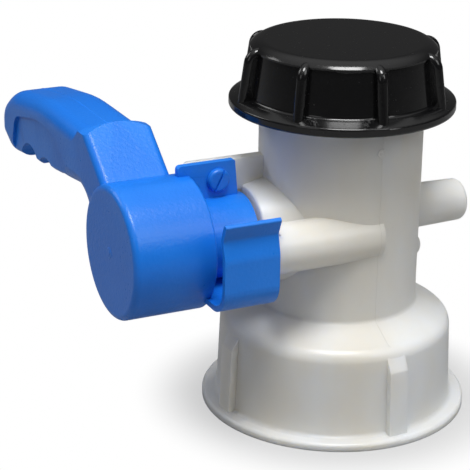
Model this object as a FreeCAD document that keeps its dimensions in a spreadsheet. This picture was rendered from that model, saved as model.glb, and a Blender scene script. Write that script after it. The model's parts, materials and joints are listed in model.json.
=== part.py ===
import FreeCAD, Part
import math
import os
import Sketcher
from FreeCAD import Placement, Rotation, Vector

# Butterfly valve for the outlet of an intermediate bulk container.
# Z runs along the flow, up towards the outlet; z = 0 is the face of the inlet flange.
# The stem lies along X: the handle is at -X, the blind trunnion at +X. Millimetres.

SIZES = [
    ("bore_radius", 25.0, "flow bore"),
    ("tube_radius", 29.0, "outside of the tube"),
    ("axis_height", 69.2, "stem axis above the inlet face"),
    ("tube_top", 129.4, "outlet end of the tube"),
    ("outlet_band_radius", 27.8, "tube under the cap, root of its thread"),
    ("outlet_band_start", 113.0, "where the thread band begins"),
    ("outlet_band_taper", 1.0, "height of the step down to the band"),
    ("flange_radius", 48.3, "inlet flange"),
    ("flange_height", 2.8, "inlet flange"),
    ("flange_round", 1.2, "rounding of the flange rim"),
    ("bell_foot_radius", 43.0, "bell just above the flange"),
    ("bell_radius", 41.8, "bell at its shoulder"),
    ("bell_corner_height", 33.2, "where wall and shoulder lines cross"),
    ("shoulder_top", 40.2, "where the shoulder meets the tube"),
    ("shoulder_round", 5.0, "rounding of the shoulder"),
    ("root_round", 1.5, "fillets at the foot of tube and bell"),
    ("inlet_radius", 38.3, "inlet socket, crest of its thread"),
    ("inlet_thread_length", 27.6, "threaded part of the inlet socket"),
    ("inlet_seat_radius", 37.4, "seat of the inlet gasket"),
    ("inlet_depth", 31.0, "depth of the inlet socket"),
    ("bell_rib_width", 7.2, "ribs on the bell"),
    ("bell_rib_reach", 2.6, "how far a bell rib stands out"),
    ("bell_rib_top", 32.8, "top of a bell rib"),
    ("bell_rib_slope", 6.2, "height of the sloping end of a bell rib"),
    ("bell_rib_count", 4, "ribs on the bell"),
    ("bell_rib_angle", 2.7, "bell ribs turned from the stem axis, degrees"),
    ("neck_root_x", 20.0, "neck starts inside the tube"),
    ("neck_root_radius", 20.6, "neck where it leaves the tube"),
    ("neck_step_x", 37.0, "end face of the thick neck"),
    ("neck_radius", 16.7, "thick neck at its end face"),
    ("neck_round", 0.8, "edge of the thick neck"),
    ("journal_radius", 12.0, "thin neck that the handle turns on"),
    ("journal_end_x", 57.4, "end of the thin neck"),
    ("stub_root_radius", 8.4, "trunnion boss at the tube"),
    ("stub_radius", 7.7, "trunnion boss at its end"),
    ("stub_end_x", 50.6, "end of the trunnion boss"),
    ("stub_round", 2.0, "edge of the trunnion boss"),
    ("arm_radius", 8.7, "side arm"),
    ("arm_y", 22.5, "side arm axis in front of the stem axis"),
    ("arm_lift", 1.4, "side arm axis above the stem axis"),
    ("arm_root_x", 2.0, "square end of the arm past the centre plane"),
    ("tongue_end_x", 57.0, "free end of the arm's tongue"),
    ("tongue_wall", 3.3, "thickness of the tongue"),
    ("ear_gap", 0.4, "between the handle's plate and the ear"),
    ("ear_wall", 4.5, "thickness of the ear"),
    ("ear_end_x", 57.6, "free end of the ear"),
    ("ear_top", 26.2, "top of the ear above the stem axis"),
    ("ear_corner", 1.5, "corner of the ear"),
    ("ear_saddle_gap", 0.7, "between the ear and the handle's sleeve"),
    ("stem_radius", 7.4, "stem in the neck"),
    ("running_gap", 0.08, "radial play of stem and trunnion"),
    ("trunnion_radius", 4.4, "end of the stem in the boss"),
    ("trunnion_end_x", 45.6, "end of the stem"),
    ("end_gap", 0.6, "between the stem's end and its blind hole"),
    ("stem_hole_radius", 6.5, "hole from the neck into the bore"),
    ("stem_shoulder_x", 26.8, "shoulder of the stem"),
    ("shoulder_gap", 0.2, "in front of the stem's shoulder"),
    ("stem_square", 9.0, "square that drives the disc"),
    ("drive_square", 10.4, "square that the handle drives"),
    ("drive_length", 22.0, "length of the drive square"),
    ("square_play", 0.2, "play across a square"),
    ("oring_groove_radius", 5.6, "floor of an O-ring groove"),
    ("oring_groove_width", 2.6, "O-ring groove"),
    ("oring_wire", 0.92, "radius of an O-ring's section"),
    ("oring_inner_x", 33.0, "O-ring near the bore"),
    ("oring_outer_x", 45.0, "O-ring near the handle"),
    ("washer_wall", 0.9, "thrust washer"),
    ("face_gap", 0.1, "between faces that rest on each other"),
    ("fit_gap", 0.3, "between curved faces of different pieces"),
    ("disc_centre_half", 3.6, "half the disc's thickness in the middle"),
    ("disc_rim_half", 2.6, "half the disc's thickness at the rim"),
    ("disc_rim_gap", 1.5, "between the disc's rim and the bore"),
    ("disc_hub_radius", 8.2, "hub of the disc round the stem"),
    ("disc_hub_gap", 2.4, "between the hub's end and the bore"),
    ("seal_gap", 0.1, "between the disc's seal and the bore"),
    ("seal_depth", 3.2, "radial depth of the disc's seal"),
    ("seal_half", 1.4, "half the height of the disc's seal"),
    ("seal_round", 0.9, "edges of the disc's seal"),
    ("eyelet_wall", 0.8, "eyelet of the seal round the stem"),
    ("pin_radius", 1.5, "pin through disc and stem"),
    ("gasket_inner_radius", 26.5, "inlet gasket"),
    ("gasket_height", 3.0, "inlet gasket"),
    ("hub_radius", 23.6, "hub of the handle"),
    ("hub_face_x", 88.0, "outer face of the hub"),
    ("hub_rim_x", 58.2, "inner rim of the hub"),
    ("hub_round", 2.2, "edge of the hub's outer face"),
    ("hub_wall", 2.6, "rim wall of the hub"),
    ("hub_face_wall", 3.2, "face wall of the hub"),
    ("sleeve_wall", 2.2, "sleeve of the handle round the neck"),
    ("sleeve_end_gap", 1.0, "between the sleeve and the thick neck"),
    ("hub_web_count", 6, "webs in the hub's hollow"),
    ("hub_web_wall", 2.0, "webs in the hub's hollow"),
    ("plate_wall", 2.6, "lock plate of the handle"),
    ("plate_top", 27.2, "top of the lock plate above the stem axis"),
    ("plate_outer_x", 62.6, "edge of the lock plate towards the hub"),
    ("plate_inner_x", 41.2, "top corner of the lock plate at the tube side"),
    ("plate_lean", 1.3, "slant of the plate's inner edge"),
    ("plate_corner", 1.4, "corners of the lock plate"),
    ("screw_x", 47.8, "lock screw"),
    ("screw_height", 20.9, "lock screw above the stem axis"),
    ("screw_head_radius", 4.1, "lock screw"),
    ("screw_head_height", 1.9, "lock screw"),
    ("screw_head_round", 1.1, "edge of the screw's head"),
    ("screw_shank_radius", 2.3, "lock screw"),
    ("screw_reach", 3.0, "how deep the screw stands in the ear"),
    ("screw_slot_width", 0.9, "slot of the lock screw"),
    ("screw_slot_depth", 0.9, "slot of the lock screw"),
    ("screw_slot_angle", 62.0, "slot from the horizontal, degrees"),
    ("pilot_play", 0.9, "room round the screw in the ear"),
    ("hook_wall", 2.0, "hook of the handle"),
    ("hook_gap", 0.36, "between the hook and the arm"),
    ("hook_end_x", 40.0, "end of the hook at the tube side"),
    ("hook_length", 20.3, "hook along the stem"),
    ("hook_floor", 16.2, "underside of the hook below the stem axis"),
    ("hook_corner", 9.2, "outside corner of the hook"),
    ("hook_root", 7.0, "where the hook thickens into the sleeve"),
    ("hook_straight_top", 4.0, "top of the hook's straight wall"),
    ("hook_bump_height", 11.0, "height of the hook's inward bump"),
    ("hook_bump_depth", 1.7, "how far the bump comes in"),
    ("hook_lip_height", 16.4, "tip of the hook's lip"),
    ("hook_lip_flare", 2.3, "how far the lip leans out"),
    ("grip_outer_x", 87.2, "outer side of the lever"),
    ("grip_width", 25.6, "lever"),
    ("grip_end", 118.0, "lever tip from the stem axis"),
    ("grip_root_top", 34.3, "top of the lever over its root"),
    ("grip_crest_reach", 70.0, "where the lever's top starts to fall"),
    ("grip_crest", 34.2, "lever's top there, above the stem axis"),
    ("grip_crest_round", 110.0, "bend of the lever's top"),
    ("grip_tail_reach", 106.0, "where the top turns down"),
    ("grip_tail_top", 28.5, "top of the lever near its tip"),
    ("grip_tail_round", 30.0, "bend of the top near the tip"),
    ("grip_tip_top", 20.0, "top of the tip's end"),
    ("grip_tip_foot", 8.5, "foot of the tip's end"),
    ("grip_tip_round", 10.0, "rounding of the tip's end"),
    ("grip_heel_reach", 107.0, "end of the underside"),
    ("grip_heel_foot", 3.0, "lowest point of the lever above the stem axis"),
    ("grip_heel_round", 8.0, "rounding of the underside's end"),
    ("grip_root_foot", 13.8, "underside of the lever at its root"),
    ("grip_root_gap", 0.6, "rear of the lever's root behind the hub"),
    ("grip_root_round", 12.4, "bend under the lever's root"),
    ("grip_edge_round", 6.2, "long edges of the lever"),
    ("finger_radius", 11.0, "finger grooves"),
    ("finger_depth", 2.0, "finger grooves"),
    ("finger_first", 49.5, "first finger groove from the stem axis"),
    ("finger_pitch", 18.5, "between finger grooves"),
    ("finger_count", 3, "finger grooves"),
    ("panel_depth", 1.2, "sunk panel on each side of the lever"),
    ("panel_margin", 8.6, "panel edge below the lever's top"),
    ("panel_round", 7.0, "corners of the panel"),
    ("panel_start", 45.0, "inner end of the panel"),
    ("panel_end", 103.5, "outer end of the panel"),
    ("block_foot", 7.4, "foot of the block's ramp from the stem axis"),
    ("block_peak_reach", 27.2, "top edge of the ramp"),
    ("block_peak", 37.2, "top edge of the ramp above the stem axis"),
    ("block_back_reach", 39.0, "where the block runs into the lever"),
    ("block_back_height", 27.0, "where the block runs into the lever"),
    ("block_crown_radius", 28.0, "crown of the block's top edge"),
    ("block_edge_round", 2.6, "side edges of the ramp"),
    ("cap_flange_radius", 39.8, "skirt flange of the cap"),
    ("cap_bottom", 111.5, "underside of the cap"),
    ("cap_flange_height", 3.0, "edge of the cap's flange"),
    ("cap_flange_round", 0.8, "edge of the cap's flange"),
    ("cap_bevel_radius", 36.4, "inner edge of the flange's bevel"),
    ("cap_bevel_height", 1.5, "bevel above the flange"),
    ("cap_foot_round", 1.2, "fillet at the foot of the wall"),
    ("cap_wall_radius", 34.3, "wall between the ribs, at its foot"),
    ("cap_wall_top_radius", 32.0, "wall between the ribs, at its top"),
    ("cap_ledge", 0.6, "bead past the wall"),
    ("cap_ledge_height", 20.8, "underside of the bead above the cap's underside"),
    ("cap_bead", 0.6, "height of the bead"),
    ("cap_crest_radius", 30.5, "where the flat top and its slope would meet"),
    ("cap_rise", 23.6, "overall height of the cap"),
    ("cap_crest_round", 6.2, "rounding of the top's rim"),
    ("cap_play", 1.7, "between the cap's bore and the thread band"),
    ("cap_rib_count", 8, "grip ribs"),
    ("cap_rib_half", 2.0, "half the width of a grip rib"),
    ("cap_rib_foot_radius", 38.9, "outside of a rib at its foot"),
    ("cap_rib_top_radius", 36.0, "outside of a rib at its top"),
    ("cap_rib_height", 22.6, "top of a rib above the cap's underside"),
    ("cap_rib_round", 3.6, "bend of a rib's middle line at its top"),
    ("cap_rib_angle", -7.0, "first grip rib from the X axis, degrees"),
    ("liner_wall", 2.0, "gasket in the cap"),
    ("liner_width", 4.6, "gasket in the cap"),
]

doc = FreeCAD.newDocument("IbcTankValve")
sheet = doc.addObject("Spreadsheet::Sheet", "Sizes")
for row, (alias, value, note) in enumerate(SIZES, start=1):
    sheet.set("A%d" % row, alias)
    sheet.set("B%d" % row, str(value))
    sheet.setAlias("B%d" % row, alias)
    sheet.set("C%d" % row, note)
doc.recompute()


def bound(expression):
    """Write the sheet's aliases in an expression with their sheet name."""
    words = []
    word = ""
    for letter in str(expression) + " ":
        if letter.isalnum() or letter in "_.":
            word += letter
            continue
        if word and word[0].isalpha() and word not in FUNCTIONS:
            word = "Sizes." + word
        words.append(word + letter)
        word = ""
    return "".join(words).strip()


FUNCTIONS = ("sqrt", "tan", "sin", "cos", "min", "max")


def value_of(expression):
    """Present value of an expression in the sheet's aliases."""
    return float(sheet.evalExpression(bound(expression)))


# ---------------------------------------------------------------- sketch helpers

def new_sketch(body, name, role, offset=None, turn=None):
    """Sketch on an origin plane of the body, moved by offset and turned about an axis."""
    plane = [item for item in body.Origin.OriginFeatures if item.Role == role][0]
    sketch = body.newObject("Sketcher::SketchObject", name)
    sketch.AttachmentSupport = [(plane, "")]
    sketch.MapMode = "FlatFace"
    for axis, expression in (offset or {}).items():
        sketch.setExpression("AttachmentOffset.Base." + axis, bound(expression))
    if turn is not None:
        axis, angle = turn
        sketch.AttachmentOffset = Placement(Vector(), Rotation(axis, 1))
        sketch.setExpression("AttachmentOffset.Rotation.Angle", bound(angle))
    return sketch


def hold_point(sketch, geometry, place, x, y):
    """Bind a point's two coordinates to expressions."""
    for kind, expression in (("DistanceX", x), ("DistanceY", y)):
        number = sketch.addConstraint(
            Sketcher.Constraint(kind, -1, 1, geometry, place, value_of(expression)))
        sketch.setExpression("Constraints[%d]" % number, bound(expression))


def corner_arc(before, corner, after, radius):
    """Tangent arc in a corner: entry point, exit point and the arc itself."""
    inward = (before - corner).normalize()
    outward = (after - corner).normalize()
    half = inward.getAngle(outward) / 2
    reach = radius / math.tan(half)
    middle = (inward + outward).normalize()
    centre = corner + middle * (radius / math.sin(half))
    entry = corner + inward * reach
    leave = corner + outward * reach
    turns_left = (corner - before).cross(after - corner).z > 0
    first, last = (entry, leave) if turns_left else (leave, entry)
    start = math.atan2(first.y - centre.y, first.x - centre.x)
    end = math.atan2(last.y - centre.y, last.x - centre.x)
    if end < start:
        end += 2 * math.pi
    circle = Part.Circle(centre, Vector(0, 0, 1), radius)
    return entry, leave, Part.ArcOfCircle(circle, start, end), turns_left


def outline(sketch, corners, closed=True):
    """Chain of lines through corners (x, y) or (x, y, radius), bound to the sheet."""
    points = [Vector(value_of(c[0]), value_of(c[1]), 0) for c in corners]
    count = len(corners)
    marks = []
    for corner, point in zip(corners, points):
        mark = sketch.addGeometry(Part.Point(point), True)
        hold_point(sketch, mark, 1, corner[0], corner[1])
        marks.append(mark)
    arcs = {}
    for index, corner in enumerate(corners):
        if len(corner) > 2:
            radius = value_of(corner[2])
            arcs[index] = corner_arc(points[index - 1], points[index],
                                     points[(index + 1) % count], radius)
    lines = []
    spans = count if closed else count - 1
    for index in range(spans):
        following = (index + 1) % count
        start = arcs[index][1] if index in arcs else points[index]
        end = arcs[following][0] if following in arcs else points[following]
        lines.append(sketch.addGeometry(Part.LineSegment(start, end), False))
    for index in range(count):
        ahead = lines[index] if index < spans else None
        behind = lines[index - 1] if closed or index > 0 else None
        if index not in arcs:
            if ahead is not None:
                sketch.addConstraint(Sketcher.Constraint("Coincident", ahead, 1, marks[index], 1))
            if behind is not None:
                sketch.addConstraint(Sketcher.Constraint("Coincident", behind, 2, marks[index], 1))
            continue
        arc = sketch.addGeometry(arcs[index][2], False)
        turns_left = arcs[index][3]
        entry, leave = (1, 2) if turns_left else (2, 1)
        sketch.addConstraint(Sketcher.Constraint("Tangent", behind, 2, arc, entry))
        sketch.addConstraint(Sketcher.Constraint("Tangent", arc, leave, ahead, 1))
        sketch.addConstraint(Sketcher.Constraint("PointOnObject", marks[index], 1, behind))
        sketch.addConstraint(Sketcher.Constraint("PointOnObject", marks[index], 1, ahead))
        number = sketch.addConstraint(
            Sketcher.Constraint("Radius", arc, value_of(corners[index][2])))
        sketch.setExpression("Constraints[%d]" % number, bound(corners[index][2]))
    return sketch


def ring(sketch, x, y, radius):
    """Circle bound to the sheet."""
    centre = Vector(value_of(x), value_of(y), 0)
    circle = sketch.addGeometry(Part.Circle(centre, Vector(0, 0, 1), value_of(radius)), False)
    hold_point(sketch, circle, 3, x, y)
    number = sketch.addConstraint(Sketcher.Constraint("Radius", circle, value_of(radius)))
    sketch.setExpression("Constraints[%d]" % number, bound(radius))
    return sketch


def box_outline(sketch, x_low, x_high, y_low, y_high):
    """Rectangle bound to the sheet."""
    return outline(sketch, [(x_low, y_low), (x_high, y_low), (x_high, y_high), (x_low, y_high)])


# --------------------------------------------------------------- feature helpers

def new_body(label, height=None):
    """PartDesign body; height lifts it, as an expression in the sheet's aliases."""
    body = doc.addObject("PartDesign::Body", label)
    body.Label = label
    if height is not None:
        body.setExpression("Placement.Base.z", bound(height))
    return body


def extrude(body, kind, sketch, length, back=False):
    """Pad or Pocket of a stated length along the sketch's normal, or against it."""
    feature = body.newObject("PartDesign::" + kind, sketch.Name + kind)
    feature.Profile = sketch
    feature.setExpression("Length", bound(length))
    feature.Reversed = back
    sketch.Visibility = False
    return feature


def turn(body, kind, sketch, axis):
    """Revolution or Groove through a full circle about a sketch axis."""
    feature = body.newObject("PartDesign::" + kind, sketch.Name + kind)
    feature.Profile = sketch
    feature.ReferenceAxis = (sketch, [axis])
    feature.Angle = 360
    sketch.Visibility = False
    return feature


def around(body, features, role, count):
    """Polar pattern of features about an origin axis of the body."""
    axis = [item for item in body.Origin.OriginFeatures if item.Role == role][0]
    pattern = body.newObject("PartDesign::PolarPattern", features[0].Name + "Around")
    pattern.Originals = features
    pattern.Axis = (axis, [""])
    pattern.Angle = 360
    pattern.setExpression("Occurrences", bound(count))
    body.Tip = pattern
    return pattern


# -------------------------------------------------------------------- valve body

def make_body():
    """Moulded body: tube, bell with its flange, neck, trunnion boss, arm and ear."""
    body = new_body("body")

    wall = new_sketch(body, "BodyWall", "XZ_Plane")
    outline(wall, [
        ("0", "0"),
        ("flange_radius", "0"),
        ("flange_radius", "flange_height", "flange_round"),
        ("bell_foot_radius", "flange_height", "root_round"),
        ("bell_radius", "bell_corner_height", "shoulder_round"),
        ("tube_radius", "shoulder_top", "root_round"),
        ("tube_radius", "outlet_band_start"),
        ("outlet_band_radius", "outlet_band_start + outlet_band_taper"),
        ("outlet_band_radius", "tube_top"),
        ("0", "tube_top"),
    ])
    turn(body, "Revolution", wall, "V_Axis")

    arm = new_sketch(body, "BodyArm", "YZ_Plane", {"z": "-tongue_end_x"})
    ring(arm, "-arm_y", "axis_height + arm_lift", "arm_radius")
    extrude(body, "Pad", arm, "tongue_end_x + arm_root_x")

    relief = new_sketch(body, "TongueRelief", "YZ_Plane", {"z": "-tongue_end_x"})
    box_outline(relief, "-arm_y - arm_radius + tongue_wall", "0",
                "axis_height + arm_lift - arm_radius - 1",
                "axis_height + arm_lift + arm_radius + 1")
    extrude(body, "Pocket", relief, "tongue_end_x - neck_step_x", back=True)

    neck = new_sketch(body, "BodyNeck", "XZ_Plane", {"y": "axis_height"})
    outline(neck, [
        ("-neck_root_x", "0"),
        ("-neck_root_x", "neck_root_radius"),
        ("-neck_step_x", "neck_radius", "neck_round"),
        ("-neck_step_x", "journal_radius"),
        ("-journal_end_x", "journal_radius", "neck_round"),
        ("-journal_end_x", "0"),
    ])
    turn(body, "Revolution", neck, "H_Axis")

    stub = new_sketch(body, "BodyStub", "XZ_Plane", {"y": "axis_height"})
    outline(stub, [
        ("neck_root_x", "0"),
        ("stub_end_x", "0"),
        ("stub_end_x", "stub_radius", "stub_round"),
        ("neck_root_x", "stub_root_radius"),
    ])
    turn(body, "Revolution", stub, "H_Axis")

    ear = new_sketch(body, "BodyEar", "XZ_Plane", {"z": "-plate_wall - ear_gap"})
    sleeve_top = "axis_height + journal_radius + fit_gap + sleeve_wall + ear_saddle_gap"
    outline(ear, [
        ("-neck_root_x", "axis_height"),
        ("-neck_root_x", "axis_height + ear_top"),
        ("-ear_end_x", "axis_height + ear_top", "ear_corner"),
        ("-ear_end_x", sleeve_top),
        ("-neck_step_x + 0.1", sleeve_top),
        ("-neck_step_x + 0.1", "axis_height"),
    ])
    extrude(body, "Pad", ear, "ear_wall", back=True)

    pilot = new_sketch(body, "PilotHole", "XZ_Plane", {"z": "-plate_wall - ear_gap"})
    ring(pilot, "-screw_x", "axis_height + screw_height", "screw_shank_radius + pilot_play")
    extrude(body, "Pocket", pilot, "screw_reach + 0.5")

    rib = new_sketch(body, "BellRib", "XZ_Plane", turn=(Vector(0, 1, 0), "bell_rib_angle"))
    outline(rib, [
        ("inlet_radius + 1", "flange_height / 2"),
        ("bell_foot_radius + bell_rib_reach", "flange_height / 2"),
        ("bell_radius + bell_rib_reach", "bell_rib_top - bell_rib_slope", "root_round"),
        ("bell_radius - 1", "bell_rib_top"),
        ("inlet_radius + 1", "bell_rib_top"),
    ])
    rib_pad = extrude(body, "Pad", rib, "bell_rib_width")
    rib_pad.Midplane = True
    around(body, [rib_pad], "Z_Axis", "bell_rib_count")

    flow = new_sketch(body, "FlowBore", "XZ_Plane")
    outline(flow, [
        ("0", "-1"),
        ("inlet_radius", "-1"),
        ("inlet_radius", "inlet_thread_length"),
        ("inlet_seat_radius", "inlet_thread_length"),
        ("inlet_seat_radius", "inlet_depth"),
        ("bore_radius", "inlet_depth"),
        ("bore_radius", "tube_top + 1"),
        ("0", "tube_top + 1"),
    ])
    turn(body, "Groove", flow, "V_Axis")

    stem_bore = new_sketch(body, "StemBore", "XZ_Plane", {"y": "axis_height"})
    outline(stem_bore, [
        ("-journal_end_x - 1", "0"),
        ("-journal_end_x - 1", "stem_radius + running_gap"),
        ("-stem_shoulder_x + shoulder_gap", "stem_radius + running_gap"),
        ("-stem_shoulder_x + shoulder_gap", "stem_hole_radius"),
        ("-neck_root_x", "stem_hole_radius"),
        ("-neck_root_x", "0"),
    ])
    turn(body, "Groove", stem_bore, "H_Axis")

    blind = new_sketch(body, "TrunnionBore", "XZ_Plane", {"y": "axis_height"})
    box_outline(blind, "neck_root_x", "trunnion_end_x + end_gap",
                "0", "trunnion_radius + running_gap")
    turn(body, "Groove", blind, "H_Axis")
    return body


def make_inlet_gasket():
    """Flat ring at the bottom of the inlet socket."""
    body = new_body("inlet_gasket")
    section = new_sketch(body, "GasketSection", "XZ_Plane")
    box_outline(section, "gasket_inner_radius", "inlet_seat_radius - fit_gap",
                "inlet_depth - face_gap - gasket_height", "inlet_depth - face_gap")
    turn(body, "Revolution", section, "V_Axis")
    return body


# ------------------------------------------------------------------ disc and stem

def make_disc():
    """Lens-shaped closing disc with a hub along the stem and a groove for its seal."""
    body = new_body("disc", "axis_height")
    rim = "bore_radius - disc_rim_gap"
    groove_floor = "bore_radius - seal_gap - seal_depth - face_gap"

    lens = new_sketch(body, "DiscLens", "XZ_Plane")
    outline(lens, [
        ("0", "-disc_centre_half"),
        (rim, "-disc_rim_half", "seal_round"),
        (rim, "disc_rim_half", "seal_round"),
        ("0", "disc_centre_half"),
    ])
    turn(body, "Revolution", lens, "V_Axis")

    hub = new_sketch(body, "DiscHub", "YZ_Plane", {"z": "-bore_radius + disc_hub_gap"})
    ring(hub, "0", "0", "disc_hub_radius")
    extrude(body, "Pad", hub, "2 * (bore_radius - disc_hub_gap)")

    seat = new_sketch(body, "SealGroove", "XZ_Plane")
    box_outline(seat, groove_floor, "bore_radius",
                "-seal_half - face_gap", "seal_half + face_gap")
    turn(body, "Groove", seat, "V_Axis")

    square = new_sketch(body, "DiscSquare", "YZ_Plane", {"z": "-bore_radius"})
    side = "(stem_square + square_play) / 2"
    box_outline(square, "-" + side, side, "-" + side, side)
    extrude(body, "Pocket", square, "2 * bore_radius", back=True)

    hole = new_sketch(body, "DiscPinHole", "XY_Plane", {"z": "-disc_hub_radius - 1"})
    ring(hole, "0", "0", "pin_radius + running_gap")
    extrude(body, "Pocket", hole, "2 * disc_hub_radius + 2", back=True)
    return body


def make_disc_seal():
    """Rim seal of the disc, with an eyelet on each side for the stem."""
    body = new_body("disc_seal", "axis_height")
    outer = "bore_radius - seal_gap"

    section = new_sketch(body, "SealSection", "XZ_Plane")
    outline(section, [
        (outer + " - seal_depth", "-seal_half"),
        (outer, "-seal_half", "seal_round"),
        (outer, "seal_half", "seal_round"),
        (outer + " - seal_depth", "seal_half"),
    ])
    turn(body, "Revolution", section, "V_Axis")

    start = "bore_radius - disc_hub_gap + face_gap"
    for name, offset in (("EyeletNear", "-(%s) - eyelet_wall" % start), ("EyeletFar", start)):
        eyelet = new_sketch(body, name, "YZ_Plane", {"z": offset})
        ring(eyelet, "0", "0", "disc_hub_radius - face_gap")
        extrude(body, "Pad", eyelet, "eyelet_wall")

    hole = new_sketch(body, "SealHole", "YZ_Plane", {"z": "-bore_radius"})
    ring(hole, "0", "0", "stem_hole_radius")
    extrude(body, "Pocket", hole, "2 * bore_radius", back=True)
    return body


def make_disc_pin():
    """Pin that holds the disc on the stem."""
    body = new_body("disc_pin", "axis_height")
    section = new_sketch(body, "PinSection", "XY_Plane", {"z": "-disc_hub_radius + face_gap"})
    ring(section, "0", "0", "pin_radius")
    extrude(body, "Pad", section, "2 * (disc_hub_radius - face_gap)")
    return body


def make_stem():
    """Stem: drive square, sealed round part, disc square and trunnion."""
    body = new_body("stem", "axis_height")

    shaft = new_sketch(body, "StemShaft", "XZ_Plane")
    corners = [("-journal_end_x", "0"), ("-journal_end_x", "stem_radius")]
    for place in ("oring_outer_x", "oring_inner_x"):
        low = "-%s - oring_groove_width / 2" % place
        high = "-%s + oring_groove_width / 2" % place
        corners += [(low, "stem_radius"), (low, "oring_groove_radius"),
                    (high, "oring_groove_radius"), (high, "stem_radius")]
    corners += [("-stem_shoulder_x", "stem_radius"), ("-stem_shoulder_x", "0")]
    outline(shaft, corners)
    turn(body, "Revolution", shaft, "H_Axis")

    drive = new_sketch(body, "StemDrive", "YZ_Plane", {"z": "-journal_end_x - drive_length"})
    box_outline(drive, "-drive_square / 2", "drive_square / 2",
                "-drive_square / 2", "drive_square / 2")
    extrude(body, "Pad", drive, "drive_length + 1")

    square_end = "bore_radius - disc_hub_gap"
    middle = new_sketch(body, "StemSquare", "YZ_Plane", {"z": "-stem_shoulder_x - 1"})
    box_outline(middle, "-stem_square / 2", "stem_square / 2",
                "-stem_square / 2", "stem_square / 2")
    extrude(body, "Pad", middle, "stem_shoulder_x + 1 + " + square_end)

    trunnion = new_sketch(body, "StemTrunnion", "XZ_Plane")
    outline(trunnion, [
        (square_end + " - 1", "0"),
        ("trunnion_end_x", "0"),
        ("trunnion_end_x", "trunnion_radius", "end_gap"),
        (square_end + " - 1", "trunnion_radius"),
    ])
    turn(body, "Revolution", trunnion, "H_Axis")

    hole = new_sketch(body, "StemPinHole", "XY_Plane", {"z": "-stem_square"})
    ring(hole, "0", "0", "pin_radius + running_gap")
    extrude(body, "Pocket", hole, "2 * stem_square", back=True)
    return body


def make_oring(label, place):
    """O-ring in a groove of the stem."""
    body = new_body(label, "axis_height")
    section = new_sketch(body, label.title().replace("_", "") + "Section", "XZ_Plane")
    ring(section, "-" + place, "oring_groove_radius + oring_wire + running_gap / 2", "oring_wire")
    turn(body, "Revolution", section, "H_Axis")
    return body


def make_thrust_washer():
    """Washer between the end of the neck and the handle."""
    body = new_body("thrust_washer", "axis_height")
    section = new_sketch(body, "WasherSection", "XZ_Plane")
    box_outline(section, "-journal_end_x - face_gap - washer_wall", "-journal_end_x - face_gap",
                "stem_radius + fit_gap", "journal_radius - fit_gap")
    turn(body, "Revolution", section, "H_Axis")
    return body


# ------------------------------------------------------------------------- handle

SLEEVE_BORE = "journal_radius + fit_gap"
SLEEVE_RADIUS = SLEEVE_BORE + " + sleeve_wall"
SLEEVE_FLOOR = "journal_end_x + washer_wall + 2 * face_gap"


def make_hub_solid():
    """Hub and sleeve of the handle, still without their hollows."""
    body = new_body("HubSolid", "axis_height")
    section = new_sketch(body, "HubSection", "XZ_Plane")
    outline(section, [
        ("-hub_face_x", "0"),
        ("-hub_face_x", "hub_radius", "hub_round"),
        ("-hub_rim_x", "hub_radius", "neck_round"),
        ("-hub_rim_x", SLEEVE_RADIUS),
        ("-neck_step_x - sleeve_end_gap", SLEEVE_RADIUS),
        ("-neck_step_x - sleeve_end_gap", "0"),
    ])
    turn(body, "Revolution", section, "H_Axis")
    return body


def make_hub_core():
    """Hollows of the hub: bearing for the neck, square for the stem, moulding recess."""
    body = new_body("HubCore", "axis_height")
    bearing = new_sketch(body, "HubBearing", "XZ_Plane")
    box_outline(bearing, "-(%s)" % SLEEVE_FLOOR, "-neck_step_x", "0", SLEEVE_BORE)
    turn(body, "Revolution", bearing, "H_Axis")

    socket = new_sketch(body, "HubSocket", "YZ_Plane",
                        {"z": "-journal_end_x - drive_length - end_gap"})
    side = "(drive_square + square_play) / 2"
    box_outline(socket, "-" + side, side, "-" + side, side)
    extrude(body, "Pad", socket, "drive_length + end_gap")
    return body


def make_hub_recess():
    """Ring-shaped recess between the hub's rim and the sleeve, parted by radial webs."""
    body = new_body("HubRecess", "axis_height")
    recess = new_sketch(body, "RecessSection", "XZ_Plane")
    box_outline(recess, "-hub_face_x + hub_face_wall", "-hub_rim_x + 1",
                SLEEVE_RADIUS, "hub_radius - hub_wall")
    turn(body, "Revolution", recess, "H_Axis")
    web = new_sketch(body, "RecessWeb", "YZ_Plane", {"z": "-hub_face_x"})
    box_outline(web, "-hub_web_wall / 2", "hub_web_wall / 2", "journal_radius", "hub_radius")
    cut = extrude(body, "Pocket", web, "hub_face_x - hub_rim_x + 2", back=True)
    around(body, [cut], "X_Axis", "hub_web_count")
    return body


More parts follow.
